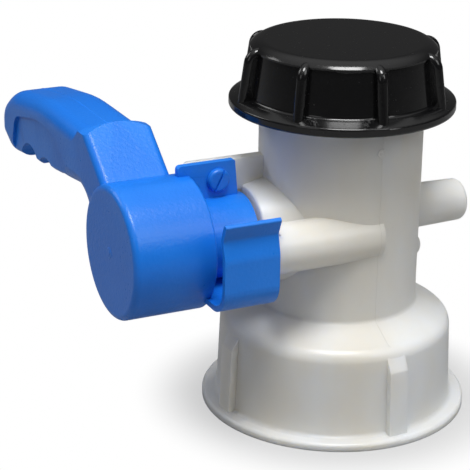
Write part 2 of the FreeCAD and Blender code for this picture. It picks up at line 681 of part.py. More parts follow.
def make_lever():
    """Lever with rounded long edges, sunk side panels and finger grooves."""
    body = new_body("Lever", "axis_height")
    side = new_sketch(body, "LeverSide", "YZ_Plane", {"z": "-grip_outer_x"})
    outline(side, [
        ("block_foot", "hub_radius - 2 * hub_wall"),
        ("block_peak_reach - 1", "grip_root_top"),
        ("grip_crest_reach", "grip_crest", "grip_crest_round"),
        ("grip_tail_reach", "grip_tail_top", "grip_tail_round"),
        ("grip_end", "grip_tip_top", "grip_tip_round"),
        ("grip_end", "grip_tip_foot", "grip_tip_round / 2"),
        ("grip_heel_reach", "grip_heel_foot", "grip_heel_round"),
        ("hub_radius + grip_root_gap", "grip_root_foot", "grip_root_round"),
        ("hub_radius - 1.5 * hub_wall", "-grip_edge_round"),
    ])
    pad = extrude(body, "Pad", side, "grip_width")
    doc.recompute()

    # The long edges lie in the two side faces; those inside the hub stay sharp.
    edges = []
    for number, edge in enumerate(pad.Shape.Edges, start=1):
        centre = edge.CenterOfMass
        outside_hub = math.hypot(centre.y, centre.z) > value_of("hub_radius")
        if edge.BoundBox.XLength < 0.001 and outside_hub:
            edges.append("Edge%d" % number)
    rounding = body.newObject("PartDesign::Fillet", "LeverRounding")
    rounding.Base = (pad, edges)
    rounding.setExpression("Radius", bound("grip_edge_round"))

    for name, start in (("PanelOuter", "-grip_outer_x"),
                        ("PanelInner", "-grip_outer_x + grip_width - panel_depth")):
        panel = new_sketch(body, name, "YZ_Plane", {"z": start})
        outline(panel, [
            ("panel_start", "-panel_round"),
            ("panel_start", "grip_crest - 1.8 * panel_margin", "panel_round"),
            ("panel_start + 2 * panel_round", "grip_crest - panel_margin", "panel_round"),
            ("grip_crest_reach + panel_round", "grip_crest - panel_margin", "grip_tail_round"),
            ("panel_end - panel_round / 2", "grip_tail_top - panel_margin", "panel_round"),
            ("panel_end", "grip_tip_foot", "panel_round"),
            ("panel_end", "-panel_round"),
        ])
        extrude(body, "Pocket", panel, "panel_depth", back=True)

    groove = new_sketch(body, "FingerGroove", "YZ_Plane", {"z": "-grip_outer_x"})
    root = "(hub_radius + grip_root_gap)"
    slope = "(grip_root_foot - grip_heel_foot) / (grip_heel_reach - %s)" % root
    underside = "grip_root_foot - (finger_first - %s) * %s" % (root, slope)
    ring(groove, "finger_first", underside + " - finger_radius + finger_depth", "finger_radius")
    first = extrude(body, "Pocket", groove, "grip_width", back=True)
    grooves = body.newObject("PartDesign::LinearPattern", "FingerGrooves")
    grooves.Originals = [first]
    grooves.Direction = (groove, ["H_Axis"])
    grooves.setExpression("Length", bound("finger_pitch * (finger_count - 1)"))
    grooves.setExpression("Occurrences", bound("finger_count"))
    body.Tip = grooves
    return body


def make_block():
    """Thumb block on the root of the lever: a ramp with a crowned top edge."""
    body = new_body("ThumbBlock", "axis_height")
    side = new_sketch(body, "BlockSide", "YZ_Plane", {"z": "-grip_outer_x"})
    outline(side, [
        ("block_foot", "sqrt(hub_radius * hub_radius - block_foot * block_foot) - 0.5"),
        ("block_peak_reach", "block_peak"),
        ("block_back_reach", "block_back_height"),
        ("block_back_reach", "grip_root_foot + 4"),
        ("block_foot", "hub_radius - 2 * hub_wall"),
    ])
    extrude(body, "Pad", side, "grip_width")

    crown = new_sketch(body, "BlockCrown", "XZ_Plane", {"z": "-block_back_reach - 1"})
    middle = "-grip_outer_x + grip_width / 2"
    box_outline(crown, middle + " - 2 * block_crown_radius", middle + " + 2 * block_crown_radius",
                "-2 * block_crown_radius", "2 * block_crown_radius")
    ring(crown, middle, "block_peak - block_crown_radius", "block_crown_radius")
    crowned = extrude(body, "Pocket", crown, "block_back_reach + 1", back=True)
    doc.recompute()

    # The ramp's side edges rise along both side faces from the hub to the crown.
    edges = []
    for number, edge in enumerate(crowned.Shape.Edges, start=1):
        box = edge.BoundBox
        rises = box.ZLength > 1 and box.YLength > 1
        if box.XLength < 0.001 and rises and edge.CenterOfMass.y < value_of("block_peak_reach"):
            edges.append("Edge%d" % number)
    rounding = body.newObject("PartDesign::Fillet", "BlockRounding")
    rounding.Base = (crowned, edges)
    rounding.setExpression("Radius", bound("block_edge_round"))
    return body


def make_plate():
    """Lock plate that stands on the sleeve and the hub, with its screw hole."""
    body = new_body("LockPlate", "axis_height")
    face = new_sketch(body, "PlateFace", "XZ_Plane", {"z": "-plate_wall"})
    foot = SLEEVE_BORE + " + sleeve_wall / 3"
    outline(face, [
        ("-plate_outer_x", foot),
        ("-plate_outer_x", "plate_top", "plate_corner"),
        ("-plate_inner_x", "plate_top", "plate_corner / 2"),
        ("-plate_inner_x + plate_lean", foot),
    ])
    extrude(body, "Pad", face, "plate_wall")
    hole = new_sketch(body, "PlateHole", "XZ_Plane", {"z": "-plate_wall"})
    ring(hole, "-screw_x", "screw_height", "screw_shank_radius + fit_gap")
    extrude(body, "Pocket", hole, "plate_wall", back=True)
    return body


def make_hook():
    """Spring hook that goes under the side arm and up in front of it."""
    body = new_body("Hook", "axis_height")
    wall_in = "sqrt(arm_y * arm_y + arm_lift * arm_lift) + arm_radius + hook_gap"
    wall_out = wall_in + " + hook_wall"
    section = new_sketch(body, "HookSection", "YZ_Plane", {"z": "-hook_end_x - hook_length"})
    outline(section, [
        ("hook_root / 2", "-journal_radius - fit_gap - sleeve_wall / 2"),
        ("0", "-hook_floor"),
        ("-(%s)" % wall_out, "-hook_floor", "hook_corner"),
        ("-(%s)" % wall_out, "hook_straight_top", "hook_corner"),
        ("-(%s) + hook_bump_depth" % wall_out, "hook_bump_height", "hook_wall"),
        ("-(%s) + hook_bump_depth - hook_lip_flare" % wall_out, "hook_lip_height", "hook_wall / 3"),
        ("-(%s) + hook_bump_depth - hook_lip_flare / 3" % wall_out, "hook_lip_height + 1",
         "hook_wall / 3"),
        ("-(%s) + hook_bump_depth" % wall_in, "hook_bump_height", "hook_wall"),
        ("-(%s)" % wall_in, "hook_straight_top", "hook_corner - hook_wall"),
        ("-(%s)" % wall_in, "-hook_floor + hook_wall", "hook_corner - hook_wall"),
        ("-hook_root", "-hook_floor + hook_wall"),
        ("-hook_root / 2", "-journal_radius - fit_gap - sleeve_wall / 4"),
    ])
    extrude(body, "Pad", section, "hook_length")
    return body


def make_handle():
    """One moulding: hub, sleeve, lever, thumb block, lock plate and hook."""
    solid = doc.addObject("Part::MultiFuse", "HandleSolid")
    solid.Shapes = [make_hub_solid(), make_lever(), make_block(), make_plate(), make_hook()]
    hollows = doc.addObject("Part::MultiFuse", "HandleHollows")
    hollows.Shapes = [make_hub_core(), make_hub_recess()]
    handle = doc.addObject("Part::Cut", "handle")
    handle.Base = solid
    handle.Tool = hollows
    handle.Refine = True
    handle.Label = "handle"
    return handle


def make_lock_screw():
    """Slotted screw through the lock plate into the ear."""
    body = new_body("lock_screw", "axis_height + screw_height")
    body.setExpression("Placement.Base.x", bound("-screw_x"))
    section = new_sketch(body, "ScrewSection", "XY_Plane")
    outline(section, [
        ("0", "-screw_head_height - face_gap"),
        ("screw_head_radius", "-screw_head_height - face_gap", "screw_head_round"),
        ("screw_head_radius", "-face_gap"),
        ("screw_shank_radius", "-face_gap"),
        ("screw_shank_radius", "plate_wall + ear_gap + screw_reach", "screw_shank_radius / 3"),
        ("0", "plate_wall + ear_gap + screw_reach"),
    ])
    turn(body, "Revolution", section, "V_Axis")
    slot = new_sketch(body, "ScrewSlot", "XZ_Plane",
                      {"z": "screw_head_height + face_gap - screw_slot_depth"},
                      turn=(Vector(0, 0, 1), "screw_slot_angle"))
    box_outline(slot, "-screw_head_radius - 1", "screw_head_radius + 1",
                "-screw_slot_width / 2", "screw_slot_width / 2")
    extrude(body, "Pocket", slot, "screw_slot_depth + 1", back=True)
    return body


# ---------------------------------------------------------------------------- cap

def make_cap():
    """Dust cap: flanged skirt, eight rounded grip ribs and a sloping shoulder."""
    body = new_body("cap")
    ledge = "cap_bottom + cap_ledge_height"
    bevel_top = "cap_bottom + cap_flange_height + cap_bevel_height"
    top = "cap_bottom + cap_rise"
    outside = new_sketch(body, "CapOutside", "XZ_Plane")
    outline(outside, [
        ("0", "cap_bottom"),
        ("cap_flange_radius", "cap_bottom", "cap_flange_round"),
        ("cap_flange_radius", "cap_bottom + cap_flange_height", "cap_flange_round"),
        ("cap_bevel_radius", bevel_top),
        ("cap_wall_radius", bevel_top, "cap_foot_round"),
        ("cap_wall_top_radius", ledge),
        ("cap_wall_top_radius + cap_ledge", ledge),
        ("cap_wall_top_radius + cap_ledge", ledge + " + cap_bead"),
        ("cap_crest_radius", top, "cap_crest_round"),
        ("0", top),
    ])
    turn(body, "Revolution", outside, "V_Axis")

    foot = "cap_bottom + cap_flange_round"
    spine_foot = "cap_rib_foot_radius - cap_rib_half"
    spine_top = "cap_rib_top_radius - cap_rib_half"
    spine_height = "cap_bottom + cap_rib_height - cap_rib_half"
    inner = "cap_wall_top_radius - 2 * cap_rib_half"
    web = new_sketch(body, "RibWeb", "XZ_Plane")
    outline(web, [
        (inner, foot),
        (spine_foot, foot),
        (spine_top, spine_height, "cap_rib_round"),
        (inner, spine_height),
    ])
    web_pad = extrude(body, "Pad", web, "2 * cap_rib_half")
    web_pad.Midplane = True

    spine = new_sketch(body, "RibSpine", "XZ_Plane")
    outline(spine, [
        (spine_foot, foot),
        (spine_top, spine_height, "cap_rib_round"),
        (inner, spine_height),
    ], closed=False)
    front = new_sketch(body, "RibFront", "XY_Plane", {"z": foot})
    ring(front, spine_foot, "0", "cap_rib_half")
    nose = body.newObject("PartDesign::AdditivePipe", "RibNose")
    nose.Profile = front
    nose.Spine = (spine, ["Edge1", "Edge2", "Edge3"])
    spine.Visibility = False
    front.Visibility = False
    around(body, [web_pad, nose], "Z_Axis", "cap_rib_count")

    inside = new_sketch(body, "CapInside", "XZ_Plane")
    box_outline(inside, "0", "outlet_band_radius + cap_play", "cap_bottom - 1",
                "tube_top + liner_wall + 2 * face_gap")
    turn(body, "Groove", inside, "V_Axis")
    body.setExpression("Placement.Rotation.Angle", bound("cap_rib_angle"))
    return body


def make_cap_gasket():
    """Ring gasket between the outlet end and the cap."""
    body = new_body("cap_gasket")
    section = new_sketch(body, "LinerSection", "XZ_Plane")
    outer = "outlet_band_radius + cap_play - fit_gap"
    box_outline(section, outer + " - liner_width", outer,
                "tube_top + face_gap", "tube_top + face_gap + liner_wall")
    turn(body, "Revolution", section, "V_Axis")
    return body


# --------------------------------------------------------------- build and export

pieces = [
    make_body(),
    make_inlet_gasket(),
    make_disc(),
    make_disc_seal(),
    make_disc_pin(),
    make_stem(),
    make_oring("stem_oring_inner", "oring_inner_x"),
    make_oring("stem_oring_outer", "oring_outer_x"),
    make_thrust_washer(),
    make_handle(),
    make_lock_screw(),
    make_cap(),
    make_cap_gasket(),
]
doc.recompute()

for item in doc.Objects:
    if "Invalid" in item.State or "Error" in item.State:
        raise RuntimeError("%s did not build: %s" % (item.Label, item.State))

os.makedirs("parts", exist_ok=True)
for piece in pieces:
    shape = piece.Shape
    if shape.isNull() or not shape.isValid() or len(shape.Solids) != 1:
        raise RuntimeError("%s is not one valid solid" % piece.Label)
    shape.exportStep("parts/%s.step" % piece.Label)
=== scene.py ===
"""Tank valve with a blue lever, an off-white body and a black dust cap, dressed around its CAD frame."""
import json
from math import cos, pi, radians, sin

import bmesh
import bpy
from mathutils import Matrix, Vector, noise


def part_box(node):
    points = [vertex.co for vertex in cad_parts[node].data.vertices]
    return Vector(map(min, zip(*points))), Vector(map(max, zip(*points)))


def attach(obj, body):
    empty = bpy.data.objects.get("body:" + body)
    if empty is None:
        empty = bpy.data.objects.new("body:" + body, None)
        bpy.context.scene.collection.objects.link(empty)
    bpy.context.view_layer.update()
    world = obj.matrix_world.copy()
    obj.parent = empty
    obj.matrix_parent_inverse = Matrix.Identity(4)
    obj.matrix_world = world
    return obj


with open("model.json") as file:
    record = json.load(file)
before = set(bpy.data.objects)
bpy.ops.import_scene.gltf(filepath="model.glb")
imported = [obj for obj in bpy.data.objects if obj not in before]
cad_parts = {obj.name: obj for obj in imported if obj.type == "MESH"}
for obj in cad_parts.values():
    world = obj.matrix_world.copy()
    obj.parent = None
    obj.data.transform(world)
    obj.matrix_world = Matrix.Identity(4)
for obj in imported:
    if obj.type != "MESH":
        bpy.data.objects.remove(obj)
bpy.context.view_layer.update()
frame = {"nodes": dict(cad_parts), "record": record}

bl_info = {
    "name": "Tank valve",
    "version": (1, 0, 0),
    "blender": (4, 5, 0),
    "location": "View3D > Sidebar > Valve",
    "description": "Finishes, threads and moulding marks of a container valve",
    "category": "Object",
}

MM = 0.001


def low(node):
    """Lowest corner of a CAD node."""
    return Vector(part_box(node)[0])


def high(node):
    """Highest corner of a CAD node."""
    return Vector(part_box(node)[1])


def joint_point(name):
    """Point that a joint of the frame turns about."""
    found = [item for item in frame["record"]["behaviour"]["joints"] if item["name"] == name]
    return Vector(found[0]["pos_m"])


STEM = joint_point("handle_turn")
BODY_TOP = high("body").z
CAP_FOOT = low("cap").z
BODY_SCATTER = 0.75                 # share of the light that enters the body's skin

# Threads: the wall that each ridge stands on, the level where it starts and its turns.
INLET_RADIUS = 38.3 * MM
INLET_START = 3.2 * MM
INLET_TURNS = 3.4
OUTLET_RADIUS = 27.8 * MM
OUTLET_START = BODY_TOP - 14.2 * MM
OUTLET_TURNS = 1.9
CAP_BORE = 29.5 * MM
CAP_TURNS = 1.4
SINK = 0.2 * MM                     # how deep a ridge or scar stands in its wall

# Parting lines and gate scars.
SEAM_X = 0.4 * MM
SEAM_FOOT = 34.5 * MM
SEAM_TOP = CAP_FOOT - 1.2 * MM
LEVER_MIDDLE = low("handle").x + 13.6 * MM
LEVER_START = STEM.y + 27.5 * MM
LEVER_END = high("handle").y - 5 * MM
GATE_LEVEL = CAP_FOOT - 9.5 * MM
BODY_PIP = 0.4 * MM
HUB_PIP = 0.16 * MM
HUB_GATE = 1.2                      # the hub's scar against the body's

# Flash under the bead of the cap's front panel, from one rib to the next.
PANEL_START = radians(-123.0)
PANEL_END = radians(-90.5)
FLASH_LEVEL = CAP_FOOT + 20.5 * MM
FLASH_DROP = 0.35 * MM

# Boss below the trunnion.
BOSS_SINK = 1 * MM                  # how deep the boss stands in the tube
BOSS_BLUNT = 0.7                    # 1 is a round dome, and less is blunter

# Rays that find a wall start this far out, in metres.
OUTSIDE = 0.2
ABOVE = 0.3
BESIDE_CAP = 0.06

# Stage. Each lamp has its name, place, size in metres and power in watts.
LAMPS = (
    ("Key lamp", (-0.10, -0.28, 1.00), 0.38, 7.6),
    ("Fill lamp", (0.35, -0.80, 0.75), 0.50, 2.2),
    ("Side lamp", (-0.90, -0.45, 0.50), 0.40, 0.5),
    ("Rear lamp", (-0.75, 0.70, 0.75), 0.50, 2.4),
)
SKY_START = 0.40                    # height on a unit sphere where the sky starts to brighten
SKY_DIM = 0.07
SKY_BRIGHT = 0.70
FLOOR_HALF = 3.0
FLOOR_POINTS = 9
FLOOR_GAP = 0.05 * MM
# The floor's painted shade round the foot fades to white between these two distances.
SHADOW_END = 0.045                  # distance from the flow axis where the floor starts to whiten
WHITE_START = 0.075
CAMERA_PLACE = Vector((-0.28988, -0.5196, 0.28995))
CAMERA_YAW = radians(25.61)
CAMERA_PITCH = radians(21.02)
CAMERA_ROLL = radians(0.79)


# ---------------------------------------------------------------- sizes and colours

class ValveFinishes(bpy.types.PropertyGroup):
    """Colours of the mouldings and the grain on them."""

    body_colour: bpy.props.FloatVectorProperty(
        name="Body", description="Main tone of the valve body", subtype="COLOR",
        size=3, min=0, max=1, default=(0.80, 0.815, 0.82))
    body_warm: bpy.props.FloatVectorProperty(
        name="Body, warm", description="Warmer tone that clouds the valve body", subtype="COLOR",
        size=3, min=0, max=1, default=(0.76, 0.73, 0.66))
    handle_colour: bpy.props.FloatVectorProperty(
        name="Handle", description="Handle moulding", subtype="COLOR",
        size=3, min=0, max=1, default=(0.006, 0.170, 0.72))
    # Paler blue for the handle's flow clouds and for the painted highlight on its edges.
    handle_pale_and_highlight: bpy.props.FloatVectorProperty(
        name="Handle, paler tone and painted edge highlight", description="Handle moulding in its paler clouds and painted edge highlights", subtype="COLOR",
        size=3, min=0, max=1, default=(0.02, 0.23, 0.84))
    cap_colour: bpy.props.FloatVectorProperty(
        name="Cap", description="Dust cap", subtype="COLOR",
        size=3, min=0, max=1, default=(0.0035, 0.0035, 0.0038))
    grain: bpy.props.FloatProperty(
        name="Grain", description="Height of the fine grain on the mouldings", unit="LENGTH",
        min=0, default=0.06 * MM)


class ValveThreads(bpy.types.PropertyGroup):
    """Coarse container threads."""

    pitch: bpy.props.FloatProperty(
        name="Pitch", description="Rise of a thread in one turn", unit="LENGTH", default=6.0 * MM)
    depth: bpy.props.FloatProperty(
        name="Depth", description="How far a thread stands out of its wall", unit="LENGTH",
        default=1.15 * MM)
    crest: bpy.props.FloatProperty(
        name="Crest", description="Width of a thread's crest", unit="LENGTH", default=1.1 * MM)
    root: bpy.props.FloatProperty(
        name="Root", description="Width of a thread at its foot", unit="LENGTH", default=2.5 * MM)


class ValveMarks(bpy.types.PropertyGroup):
    """Marks that the moulds leave."""

    seam_width: bpy.props.FloatProperty(
        name="Seam width", description="Width of a parting line", unit="LENGTH", default=0.5 * MM)
    seam_height: bpy.props.FloatProperty(
        name="Seam height", description="How far a parting line stands out", unit="LENGTH",
        default=0.08 * MM)
    gate_radius: bpy.props.FloatProperty(
        name="Gate", description="Radius of the scar of a moulding gate", unit="LENGTH",
        default=1.7 * MM)


class ValveForms(bpy.types.PropertyGroup):
    """Small forms that stand outside the solids."""

    tube_radius: bpy.props.FloatProperty(
        name="Tube", description="Radius of the tube", unit="LENGTH", default=29.0 * MM)
    boss_radius: bpy.props.FloatProperty(
        name="Boss", description="Radius of the round boss below the trunnion", unit="LENGTH",
        default=5.0 * MM)
    boss_height: bpy.props.FloatProperty(
        name="Boss height", description="How far the boss stands out of the tube", unit="LENGTH",
        default=5.4 * MM)
    boss_drop: bpy.props.FloatProperty(
        name="Boss drop", description="Boss below the stem axis", unit="LENGTH", default=15.0 * MM)
    flash_height: bpy.props.FloatProperty(
        name="Flash", description="Highest point of the flash under the cap's bead", unit="LENGTH",
        default=0.22 * MM)


class ValveStage(bpy.types.PropertyGroup):
    """Floor, lamps and camera."""

    floor_colour: bpy.props.FloatVectorProperty(
        name="Floor", description="Colour of the floor", subtype="COLOR",
        size=3, min=0, max=1, default=(0.30, 0.30, 0.30))
    lens: bpy.props.FloatProperty(
        name="Lens", description="Focal length of the camera in millimetres", default=135.155)


# ---------------------------------------------------------------- shader maths

class Socket:
    """Output of a shader node that can be used in Python expressions."""

    def __init__(self, tree, link):
        self.tree = tree
        self.link = link

    def join(self, operation, *values):
        """Math node on this tree."""
        return make_node(self.tree, "ShaderNodeMath", {"operation": operation},
                         dict(enumerate(values)))

    def __add__(self, other):
        return self.join("ADD", self, other)

    __radd__ = __add__

    def __mul__(self, other):
        return self.join("MULTIPLY", self, other)

    __rmul__ = __mul__

    def clamp(self):
        """Value held between 0 and 1."""
        return make_node(self.tree, "ShaderNodeClamp", {}, {"Value": self})


def make_node(tree, kind, settings, values, output=0):
    """Node of a kind, with its settings and the values or links of its sockets."""
    node = tree.nodes.new(kind)
    for name, value in settings.items():
        setattr(node, name, value)
    for key, value in values.items():
        socket = node.inputs[key]
        if isinstance(value, Socket):
            tree.links.new(value.link, socket)
        elif isinstance(value, (tuple, list)) and socket.type == "RGBA" and len(value) == 3:
            socket.default_value = (*value, 1.0)
        else:
            socket.default_value = value
    return Socket(tree, node.outputs[output])


OBJECT_PLACE = 3                    # outputs of the Texture Coordinate and Geometry nodes
POINTINESS = 7


class Finish:
    """Material with one Principled shader and short calls for its patterns."""

    def __init__(self, name, **constants):
        self.material = bpy.data.materials.new(name)
        self.material.use_nodes = True
        self.tree = self.material.node_tree
        self.shader = self.tree.nodes["Principled BSDF"]
        for key, value in constants.items():
            socket = self.shader.inputs[key.replace("_", " ")]
            if isinstance(value, tuple) and socket.type == "RGBA" and len(value) == 3:
                value = (*value, 1.0)
            socket.default_value = value
        self.place = make_node(self.tree, "ShaderNodeTexCoord", {}, {}, OBJECT_PLACE)

    def node(self, kind, settings, values, output=0):
        """Any other node of this material."""
        return make_node(self.tree, kind, settings, values, output)

    def cloud(self, size, detail=2.0, roughness=0.5, stretch=(1, 1, 1)):
        """Noise with lumps of about a size in metres, from 0 to 1."""
        where = self.node("ShaderNodeMapping", {}, {"Vector": self.place, "Scale": stretch})
        return self.node("ShaderNodeTexNoise", {},
                         {"Vector": where, "Scale": 0.5 / size, "Detail": detail,
                          "Roughness": roughness})

    def step(self, value, start, end):
        """Smooth step of a value, 0 at the start and 1 at the end."""
        return self.node("ShaderNodeMapRange", {"interpolation_type": "SMOOTHSTEP"},
                         {"Value": value, "From Min": start, "From Max": end})

    def mix(self, factor, first, second):
        """Colour between two others."""
        return self.node("ShaderNodeMix", {"data_type": "RGBA"},
                         {0: factor, 6: first, 7: second}, 2)

    def edges(self, radius):
        """1 on edges and corners that stand out, 0 on flat faces."""
        pointed = self.node("ShaderNodeNewGeometry", {}, {}, POINTINESS)
        return self.step(pointed, 0.5, 0.5 + radius)

    def relief(self, height, distance):
        """Bump of a height pattern, with the distance of its full height in metres."""
        bump = self.node("ShaderNodeBump", {}, {"Height": height, "Distance": distance,
                                                "Strength": 1.0})
        self.tree.links.new(bump.link, self.shader.inputs["Normal"])

    def feed(self, name, value):
        """Pattern that drives one of the shader's sockets."""
        self.tree.links.new(value.link, self.shader.inputs[name])


# ---------------------------------------------------------------- finishes

def body_finish(name, sizes, scatter):
    """Translucent off-white polyethylene with warmer clouds and streaks and a satin skin."""
    made = Finish(name, Subsurface_Weight=scatter, Subsurface_Scale=0.008,
                  Subsurface_Radius=(1.0, 0.92, 0.78), IOR=1.5, Specular_IOR_Level=0.5)
    streaks = made.cloud(0.011, detail=3.0, stretch=(1.0, 1.0, 0.35))
    clouds = made.cloud(0.030, detail=2.0)
    fine = made.cloud(0.0011, detail=3.0, roughness=0.6)
    pores = made.cloud(0.00045, detail=2.0)
    mottle = (0.55 * clouds + 0.45 * streaks).clamp()
    tint = made.mix(made.step(mottle, 0.36, 0.66), tuple(sizes.body_warm), tuple(sizes.body_colour))
    made.feed("Base Color", tint)
    made.feed("Roughness", (0.20 + 0.14 * fine + 0.10 * clouds).clamp())
    made.relief(0.7 * fine + 0.3 * pores, sizes.grain * 0.6)
    return made.material


def blue_finish(sizes):
    """Blue moulded plastic with a fine orange-peel skin, paler clouds and a painted highlight on its
    edges.
    """
    made = Finish("Handle plastic", IOR=1.5, Specular_IOR_Level=0.4)
    peel = made.cloud(0.0006, detail=2.0, roughness=0.6)
    lumps = made.cloud(0.006, detail=2.0)
    flow = made.cloud(0.022, detail=3.0, stretch=(1.0, 0.4, 1.0))
    # Painted highlight: edges and corners that stand out are made paler blue.
    edge_highlight = made.edges(0.06)
    # Random paler clouds of the flow, joined with the painted edge highlight.
    flow_tone_and_edge_highlight = (0.35 * made.step(flow, 0.42, 0.68) + 0.5 * edge_highlight).clamp()
    made.feed("Base Color", made.mix(flow_tone_and_edge_highlight, tuple(sizes.handle_colour), tuple(sizes.handle_pale_and_highlight)))
    made.feed("Roughness", (0.20 + 0.14 * peel + 0.08 * lumps).clamp())
    made.relief(0.8 * peel + 0.2 * lumps, sizes.grain * 2.2)
    return made.material


def screw_finish(sizes):
    """The handle's blue, with a painted highlight on the edges of the head and slot."""
    made = Finish("Screw plastic", IOR=1.5, Specular_IOR_Level=0.5)
    peel = made.cloud(0.0007, detail=2.0)
    # Painted highlight: edges of the head and slot are made paler blue.
    edge_highlight = made.edges(0.08)
    made.feed("Base Color", made.mix((0.6 * edge_highlight).clamp(), tuple(sizes.handle_colour),
                                     tuple(sizes.handle_pale_and_highlight)))
    made.feed("Roughness", (0.32 + 0.16 * peel).clamp())
    made.relief(peel, sizes.grain)
    return made.material


def cap_finish(sizes):
    """Glossy black plastic with faint dust and a slightly wavy skin."""
    made = Finish("Cap plastic", IOR=1.5, Specular_IOR_Level=0.55)
    waves = made.cloud(0.009, detail=1.0)
    fine = made.cloud(0.0012, detail=3.0, roughness=0.6)
    dust = made.step(made.cloud(0.0006, detail=1.0), 0.70, 0.80)
    made.feed("Base Color", made.mix((0.25 * dust).clamp(), tuple(sizes.cap_colour),
                                     (0.03, 0.03, 0.03)))
    made.feed("Roughness", (0.09 + 0.07 * fine + 0.05 * waves + 0.2 * dust).clamp())
    made.relief(0.8 * waves + 0.2 * fine, sizes.grain * 0.5)
    return made.material


def rubber_finish(sizes):
    """Matt black seal rubber."""
    made = Finish("Seal rubber", IOR=1.5, Specular_IOR_Level=0.35)
    fine = made.cloud(0.0007, detail=3.0, roughness=0.65)
    bloom = made.cloud(0.006, detail=2.0)
    made.feed("Base Color", made.mix(made.step(bloom, 0.45, 0.75), (0.012, 0.012, 0.013),
                                     (0.03, 0.03, 0.031)))
    made.feed("Roughness", (0.58 + 0.2 * fine).clamp())
    made.relief(fine, sizes.grain)
    return made.material


def natural_finish(name, pale, warm, sizes):
    """Natural moulded plastic of the inner parts."""
    made = Finish(name, IOR=1.5, Specular_IOR_Level=0.45, Subsurface_Weight=0.2,
                  Subsurface_Scale=0.002)
    fine = made.cloud(0.0010, detail=3.0, roughness=0.6)
    clouds = made.cloud(0.012, detail=2.0)
    made.feed("Base Color", made.mix(made.step(clouds, 0.35, 0.7), warm, pale))
    made.feed("Roughness", (0.36 + 0.16 * fine).clamp())
    made.relief(fine, sizes.grain * 0.7)
    return made.material


def steel_finish(sizes):
    """Ground steel with fine scratches."""
    made = Finish("Pin steel", IOR=2.5)
    lines = made.cloud(0.0004, detail=3.0, stretch=(1.0, 1.0, 0.05))
    made.feed("Base Color", made.mix(lines, (0.42, 0.42, 0.43), (0.62, 0.62, 0.62)))
    made.feed("Metallic", (0.96 + 0.04 * lines).clamp())
    made.feed("Roughness", (0.22 + 0.2 * lines).clamp())
    made.relief(lines, sizes.grain * 0.4)
    return made.material


def foam_finish(sizes):
    """Pale foam liner with closed cells."""
    made = Finish("Liner foam", IOR=1.45, Specular_IOR_Level=0.3)
    cells = made.node("ShaderNodeTexVoronoi", {}, {"Vector": made.place, "Scale": 1600.0})
    clouds = made.cloud(0.008, detail=2.0)
    made.feed("Base Color", made.mix(clouds, (0.62, 0.61, 0.58), (0.74, 0.73, 0.70)))
    made.feed("Roughness", (0.62 + 0.2 * cells).clamp())
    made.relief(cells, sizes.grain)
    return made.material


# ---------------------------------------------------------------- meshes

def mesh_piece(name, mesh, material, body, smooth=True):
    """Object from a bmesh, with its finish, body and slot."""
    bmesh.ops.recalc_face_normals(mesh, faces=mesh.faces)
    data = bpy.data.meshes.new(name)
    mesh.to_mesh(data)
    mesh.free()
    for face in data.polygons:
        face.use_smooth = smooth
    piece = bpy.data.objects.new(name, data)
    bpy.context.scene.collection.objects.link(piece)
    data.materials.append(material)
    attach(piece, body)
    return piece


def skin(mesh, rows):
    """Closed skin over rows of points, each row a ring as long as the others."""
    made = [[mesh.verts.new(point) for point in row] for row in rows]
    count = len(made[0])
    for one, two in zip(made, made[1:]):
        for step in range(count):
            after = (step + 1) % count
            mesh.faces.new((one[step], one[after], two[after], two[step]))
    mesh.faces.new(made[0])
    mesh.faces.new(made[-1])


def thread_rows(radius, start, turns, sizes, sign, per_turn=96, lead_in=0.12):
    """Sections of a helical ridge on a wall; sign is 1 outwards and -1 inwards."""
    rows = []
    ease = 0.12 * MM
    flank = 0.85
    total = int(per_turn * turns)
    for index in range(total + 1):
        angle = 2 * pi * index / per_turn
        along = index / total
        fade = min(1.0, along / lead_in, (1.0 - along) / lead_in)
        rise = sizes.depth * sin(fade * pi / 2) + 0.02 * MM
        middle = start + sizes.pitch * angle / (2 * pi)
        half_crest = sizes.crest / 2
        section = ((-SINK, -sizes.root / 2), (rise * flank, -half_crest - ease),
                   (rise, -half_crest + ease), (rise, half_crest - ease),
                   (rise * flank, half_crest + ease), (-SINK, sizes.root / 2))
        rows.append([Vector(((radius + sign * out) * cos(angle), (radius + sign * out) * sin(angle),
                             middle + up)) for out, up in section])
    return rows


def add_thread(name, radius, start, turns, sign, material, body):
    """Helical thread ridge round the flow axis."""
    sizes = bpy.context.scene.valve_threads
    mesh = bmesh.new()
    skin(mesh, thread_rows(radius, start, turns, sizes, sign))
    return mesh_piece(name, mesh, material, body)


def seam_rows(points, outward, sizes):
    """Sections of a thin raised line along points, with the way out of the wall at each."""
    rows = []
    for index, point in enumerate(points):
        before = points[max(index - 1, 0)]
        after = points[min(index + 1, len(points) - 1)]
        out = outward[index].normalized()
        side = (after - before).cross(out).normalized()
        rise = 0.0 if index in (0, len(points) - 1) else sizes.seam_height
        half = sizes.seam_width / 2
        flat = 0.45 * half
        foot = -0.15 * MM
        section = ((-half, foot), (-flat, rise), (flat, rise), (half, foot))
        rows.append([point + side * across + out * up for across, up in section])
    return rows


def add_seam(name, points, outward, material, body):
    """Raised parting line."""
    mesh = bmesh.new()
    skin(mesh, seam_rows(points, outward, bpy.context.scene.valve_marks))
    return mesh_piece(name, mesh, material, body)


def surface_points(node, starts, way):
    """Points where rays from the starts meet a CAD node, and its normals there."""
    item = frame["nodes"][node]
    points = []
    normals = []
    for start in starts:
        hit, place, normal, _ = item.ray_cast(start, way)
        if hit:
            points.append(place)
            normals.append(normal)
    return points, normals


def spread(first, last, count):
    """Evenly spaced numbers."""
    return [first + (last - first) * index / (count - 1) for index in range(count)]


def round_turns(count):
    """Angles of a ring's points."""
    return spread(0, 2 * pi * (count - 1) / count, count)


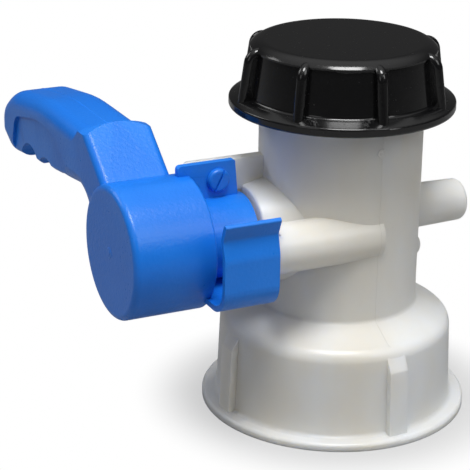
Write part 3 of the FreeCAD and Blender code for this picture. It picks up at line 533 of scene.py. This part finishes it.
def scar_mesh(centre, outward, radius, height):
    """Small round scar of a moulding gate: a flat pip inside a low rim."""
    mesh = bmesh.new()
    out = outward.normalized()
    side = out.orthogonal().normalized()
    other = out.cross(side)
    profile = ((1.0, -SINK), (0.98, 0.35 * height), (0.84, 0.7 * height), (0.66, 0.3 * height),
               (0.42, 0.35 * height), (0.30, height), (0.12, height))
    rows = []
    for share, up in profile:
        rows.append([centre + out * up + (side * cos(turn) + other * sin(turn)) * radius * share
                     for turn in round_turns(32)])
    skin(mesh, rows)
    return mesh


# ---------------------------------------------------------------- operators

class VALVE_OT_finishes(bpy.types.Operator):
    """Give every CAD node its finish"""

    bl_idname = "valve.finishes"
    bl_label = "Finishes"

    def execute(self, context):
        sizes = context.scene.valve_finishes
        made = {
            "white_hdpe": body_finish("Body polyethylene", sizes, BODY_SCATTER),
            "blue_plastic": blue_finish(sizes),
            "screw_plastic": screw_finish(sizes),
            "black_plastic": cap_finish(sizes),
            "seal_rubber": rubber_finish(sizes),
            "disc_plastic": natural_finish("Disc plastic", (0.62, 0.61, 0.57),
                                           (0.55, 0.53, 0.48), sizes),
            "stem_plastic": natural_finish("Stem plastic", (0.66, 0.65, 0.62),
                                           (0.60, 0.58, 0.53), sizes),
            "pin_steel": steel_finish(sizes),
            "liner_foam": foam_finish(sizes),
        }
        # Copy of the body finish without scattering, so that the seams and gate scar render brighter
        # than the body round them: a painted highlight.
        body_finish("Body marks, painted highlight", sizes, 0.0)
        for row in frame["record"]["subparts"]:
            item = frame["nodes"][row["node"]]
            if not item.material_slots:
                raise RuntimeError("node %s has no material slot" % row["node"])
            for place in item.material_slots:
                place.material = made[row["material_slot"]]
        return {"FINISHED"}


def finish_named(name):
    """Material made by the finishes operator."""
    return bpy.data.materials[name]


class VALVE_OT_threads(bpy.types.Operator):
    """Add the turns of the coarse threads of inlet, outlet and cap"""

    bl_idname = "valve.threads"
    bl_label = "Threads"

    def execute(self, context):
        sizes = context.scene.valve_threads
        white = finish_named("Body polyethylene")
        black = finish_named("Cap plastic")
        outwards = 1
        inwards = -1
        add_thread("inlet_thread_ridge", INLET_RADIUS, INLET_START, INLET_TURNS, inwards,
                   white, "valve_body")
        add_thread("outlet_thread_ridge", OUTLET_RADIUS, OUTLET_START, OUTLET_TURNS, outwards,
                   white, "valve_body")
        add_thread("cap_thread_ridge", CAP_BORE, OUTLET_START + sizes.pitch / 2, CAP_TURNS, inwards,
                   black, "dust_cap")
        return {"FINISHED"}


class VALVE_OT_seams(bpy.types.Operator):
    """Add the parting lines of the body and the lever"""

    bl_idname = "valve.seams"
    bl_label = "Parting lines"

    def execute(self, context):
        white = finish_named("Body marks, painted highlight")
        blue = finish_named("Handle plastic")
        backwards = Vector((0, 1, 0))
        for name, way in (("body_seam_front", backwards), ("body_seam_rear", -backwards)):
            starts = [Vector((SEAM_X, -way.y * OUTSIDE, height))
                      for height in spread(SEAM_FOOT, SEAM_TOP, 150)]
            points, normals = surface_points("body", starts, way)
            add_seam(name, points, normals, white, "valve_body")
        starts = [Vector((LEVER_MIDDLE, reach, ABOVE))
                  for reach in spread(LEVER_START, LEVER_END, 90)]
        points, normals = surface_points("handle", starts, Vector((0, 0, -1)))
        add_seam("lever_seam_top", points, normals, blue, "handle_group")
        return {"FINISHED"}


class VALVE_OT_boss(bpy.types.Operator):
    """Add the round boss below the trunnion"""

    bl_idname = "valve.boss"
    bl_label = "Side boss"

    def execute(self, context):
        sizes = context.scene.valve_forms
        white = finish_named("Body polyethylene")
        mesh = bmesh.new()
        rows = []
        for share in spread(0.02, 1, 16):
            lean = share * pi / 2
            rise = (sizes.boss_height + BOSS_SINK) * cos(lean) ** BOSS_BLUNT
            out = sizes.tube_radius - BOSS_SINK + rise
            radius = sizes.boss_radius * sin(lean)
            level = STEM.z - sizes.boss_drop
            rows.append([Vector((out, radius * cos(turn), level + radius * sin(turn)))
                         for turn in round_turns(48)])
        skin(mesh, rows)
        mesh_piece("side_boss", mesh, white, "valve_body")
        return {"FINISHED"}


class VALVE_OT_flash(bpy.types.Operator):
    """Add the thin ragged flash under the bead of the cap's front panel"""

    bl_idname = "valve.flash"
    bl_label = "Cap flash"

    def execute(self, context):
        sizes = context.scene.valve_forms
        black = finish_named("Cap plastic")
        up = Vector((0, 0, 1))
        rows = []
        for turn in spread(PANEL_START, PANEL_END, 120):
            way = Vector((cos(turn), sin(turn), 0))
            points, _ = surface_points("cap", [way * BESIDE_CAP + up * FLASH_LEVEL], -way)
            broad = noise.noise(Vector((turn * 9.0, 0.3, 0.0)))
            ragged = broad + 0.6 * noise.noise(Vector((turn * 31.0, 0.9, 0.0)))
            rise = sizes.flash_height * min(1.0, max(0.12, 0.35 + ragged))
            drop = FLASH_DROP * max(0.3, 0.6 + ragged)
            foot = points[0]
            rows.append([foot - way * SINK + up * 0.15 * MM, foot + way * rise + up * 0.05 * MM,
                         foot + way * rise * 0.8 - up * drop, foot - way * SINK - up * drop * 1.4])
        mesh = bmesh.new()
        skin(mesh, rows)
        mesh_piece("cap_flash", mesh, black, "dust_cap", smooth=False)
        return {"FINISHED"}


class VALVE_OT_marks(bpy.types.Operator):
    """Add the scars of the moulding gates"""

    bl_idname = "valve.marks"
    bl_label = "Gate marks"

    def execute(self, context):
        sizes = context.scene.valve_marks
        white = finish_named("Body marks, painted highlight")
        blue = finish_named("Handle plastic")
        gate = Vector((0, -OUTSIDE, GATE_LEVEL))
        points, normals = surface_points("body", [gate], Vector((0, 1, 0)))
        mesh = scar_mesh(points[0], normals[0], sizes.gate_radius, BODY_PIP)
        mesh_piece("body_gate_mark", mesh, white, "valve_body")
        hub = Vector((low("handle").x + 0.01 * MM, 0, STEM.z))
        mesh = scar_mesh(hub, Vector((-1, 0, 0)), sizes.gate_radius * HUB_GATE, HUB_PIP)
        mesh_piece("hub_gate_mark", mesh, blue, "handle_group")
        return {"FINISHED"}


class VALVE_OT_stage(bpy.types.Operator):
    """Build the floor, the sky, the lamps and the camera"""

    bl_idname = "valve.stage"
    bl_label = "Stage"

    def execute(self, context):
        sizes = context.scene.valve_stage
        add_floor(sizes)
        add_world()
        for name, place, size, power in LAMPS:
            add_lamp(name, Vector(place), size, power)
        add_camera(sizes.lens)
        return {"FINISHED"}


def add_floor(sizes):
    """Floor that the camera sees near white, with painted shade round the valve's foot, where more of
    the grey paint and the real cast shadow on it show.
    """
    mesh = bmesh.new()
    places = spread(-FLOOR_HALF, FLOOR_HALF, FLOOR_POINTS)
    made = [[mesh.verts.new((x, y, 0.0)) for x in places] for y in places]
    for one, two in zip(made, made[1:]):
        for step in range(FLOOR_POINTS - 1):
            mesh.faces.new((one[step], one[step + 1], two[step + 1], two[step]))
    data = bpy.data.meshes.new("Floor")
    mesh.to_mesh(data)
    mesh.free()
    floor = bpy.data.objects.new("Floor", data)
    bpy.context.scene.collection.objects.link(floor)
    floor.location.z = low("body").z - FLOOR_GAP
    material = bpy.data.materials.new("Floor paint")
    material.use_nodes = True
    tree = material.node_tree
    shader = tree.nodes["Principled BSDF"]
    shader.inputs["Base Color"].default_value = (*sizes.floor_colour, 1.0)
    shader.inputs["Roughness"].default_value = 0.9
    shader.inputs["Specular IOR Level"].default_value = 0.1
    glow = make_node(tree, "ShaderNodeEmission", {}, {"Color": (1.0, 1.0, 1.0), "Strength": 1.0})
    paint = Socket(tree, shader.outputs[0])
    ray = make_node(tree, "ShaderNodeLightPath", {}, {})
    where = make_node(tree, "ShaderNodeNewGeometry", {}, {})
    far = make_node(tree, "ShaderNodeVectorMath", {"operation": "LENGTH"}, {0: where}, output=1)
    # Painted shade: near the foot the camera sees more of the grey paint, which also takes the real cast
    # shadow, fading to white further out.
    painted_shade_fade = make_node(tree, "ShaderNodeMapRange", {"interpolation_type": "SMOOTHSTEP"},
                           {"Value": far, "From Min": SHADOW_END, "From Max": WHITE_START})
    white = (ray * (0.55 + 0.45 * painted_shade_fade)).clamp()
    mixed = make_node(tree, "ShaderNodeMixShader", {}, {0: white, 1: paint, 2: glow})
    tree.links.new(mixed.link, tree.nodes["Material Output"].inputs["Surface"])
    data.materials.append(material)


def add_world():
    """Soft light from overhead, dim near the horizon and white where the camera looks past the valve."""
    world = bpy.data.worlds.new("Studio")
    bpy.context.scene.world = world
    world.use_nodes = True
    tree = world.node_tree
    ray = make_node(tree, "ShaderNodeLightPath", {}, {})
    way = make_node(tree, "ShaderNodeTexCoord", {}, {})
    rise = make_node(tree, "ShaderNodeSeparateXYZ", {}, {"Vector": way}, 2)
    sky = make_node(tree, "ShaderNodeMapRange", {"interpolation_type": "SMOOTHSTEP"},
                    {"Value": rise, "From Min": SKY_START, "From Max": 1.0, "To Min": SKY_DIM,
                     "To Max": SKY_BRIGHT})
    strength = (sky + ray).clamp()
    background = tree.nodes["Background"]
    background.inputs["Color"].default_value = (1.0, 1.0, 1.0, 1.0)
    tree.links.new(strength.link, background.inputs["Strength"])


def add_lamp(name, place, size, power):
    """Soft square lamp that faces the valve."""
    data = bpy.data.lights.new(name, "AREA")
    data.shape = "SQUARE"
    data.size = size
    data.energy = power
    lamp = bpy.data.objects.new(name, data)
    bpy.context.scene.collection.objects.link(lamp)
    lamp.location = place
    target = Vector((0, 0, STEM.z))
    lamp.rotation_euler = (target - place).to_track_quat("-Z", "Y").to_euler()


def add_camera(lens):
    """Camera in front of the hub, a little above the valve."""
    level = cos(CAMERA_PITCH)
    forward = Vector((sin(CAMERA_YAW) * level, cos(CAMERA_YAW) * level, -sin(CAMERA_PITCH)))
    right = Vector((cos(CAMERA_YAW), -sin(CAMERA_YAW), 0))
    above = right.cross(forward)
    right_rolled = right * cos(CAMERA_ROLL) + above * sin(CAMERA_ROLL)
    above_rolled = above * cos(CAMERA_ROLL) - right * sin(CAMERA_ROLL)
    data = bpy.data.cameras.new("Camera")
    data.lens = lens
    data.sensor_width = 36.0
    data.clip_start = 0.01
    camera = bpy.data.objects.new("Camera", data)
    bpy.context.scene.collection.objects.link(camera)
    turned = Matrix((right_rolled, above_rolled, -forward)).transposed().to_4x4()
    camera.matrix_world = Matrix.Translation(CAMERA_PLACE) @ turned
    bpy.context.scene.camera = camera
    bpy.context.scene.view_settings.view_transform = "Standard"


class VALVE_PT_sidebar(bpy.types.Panel):
    """Lists the valve's sizes and the operators that build it"""

    bl_idname = "VALVE_PT_sidebar"
    bl_label = "Tank valve"
    bl_space_type = "VIEW_3D"
    bl_region_type = "UI"
    bl_category = "Valve"

    def draw(self, context):
        for group in GROUPS:
            box = self.layout.box()
            holder = getattr(context.scene, group)
            for name in holder.__annotations__:
                box.prop(holder, name)
        for operator in OPERATORS:
            self.layout.operator(operator.bl_idname)


GROUPS = {
    "valve_finishes": ValveFinishes,
    "valve_threads": ValveThreads,
    "valve_marks": ValveMarks,
    "valve_forms": ValveForms,
    "valve_stage": ValveStage,
}
OPERATORS = (VALVE_OT_finishes, VALVE_OT_threads, VALVE_OT_boss, VALVE_OT_seams, VALVE_OT_flash,
             VALVE_OT_marks, VALVE_OT_stage)


def register():
    """Register the property groups, the operators and the panel."""
    for name, kind in GROUPS.items():
        bpy.utils.register_class(kind)
        setattr(bpy.types.Scene, name, bpy.props.PointerProperty(type=kind))
    for kind in OPERATORS:
        bpy.utils.register_class(kind)
    bpy.utils.register_class(VALVE_PT_sidebar)


def unregister():
    """Remove what register added."""
    bpy.utils.unregister_class(VALVE_PT_sidebar)
    for kind in reversed(OPERATORS):
        bpy.utils.unregister_class(kind)
    for name, kind in reversed(GROUPS.items()):
        delattr(bpy.types.Scene, name)
        bpy.utils.unregister_class(kind)


def main():
    """Build the scene."""
    register()
    bpy.ops.valve.finishes()
    bpy.ops.valve.threads()
    bpy.ops.valve.boss()
    bpy.ops.valve.seams()
    bpy.ops.valve.flash()
    bpy.ops.valve.marks()
    bpy.ops.valve.stage()


if __name__ == "__main__":
    main()
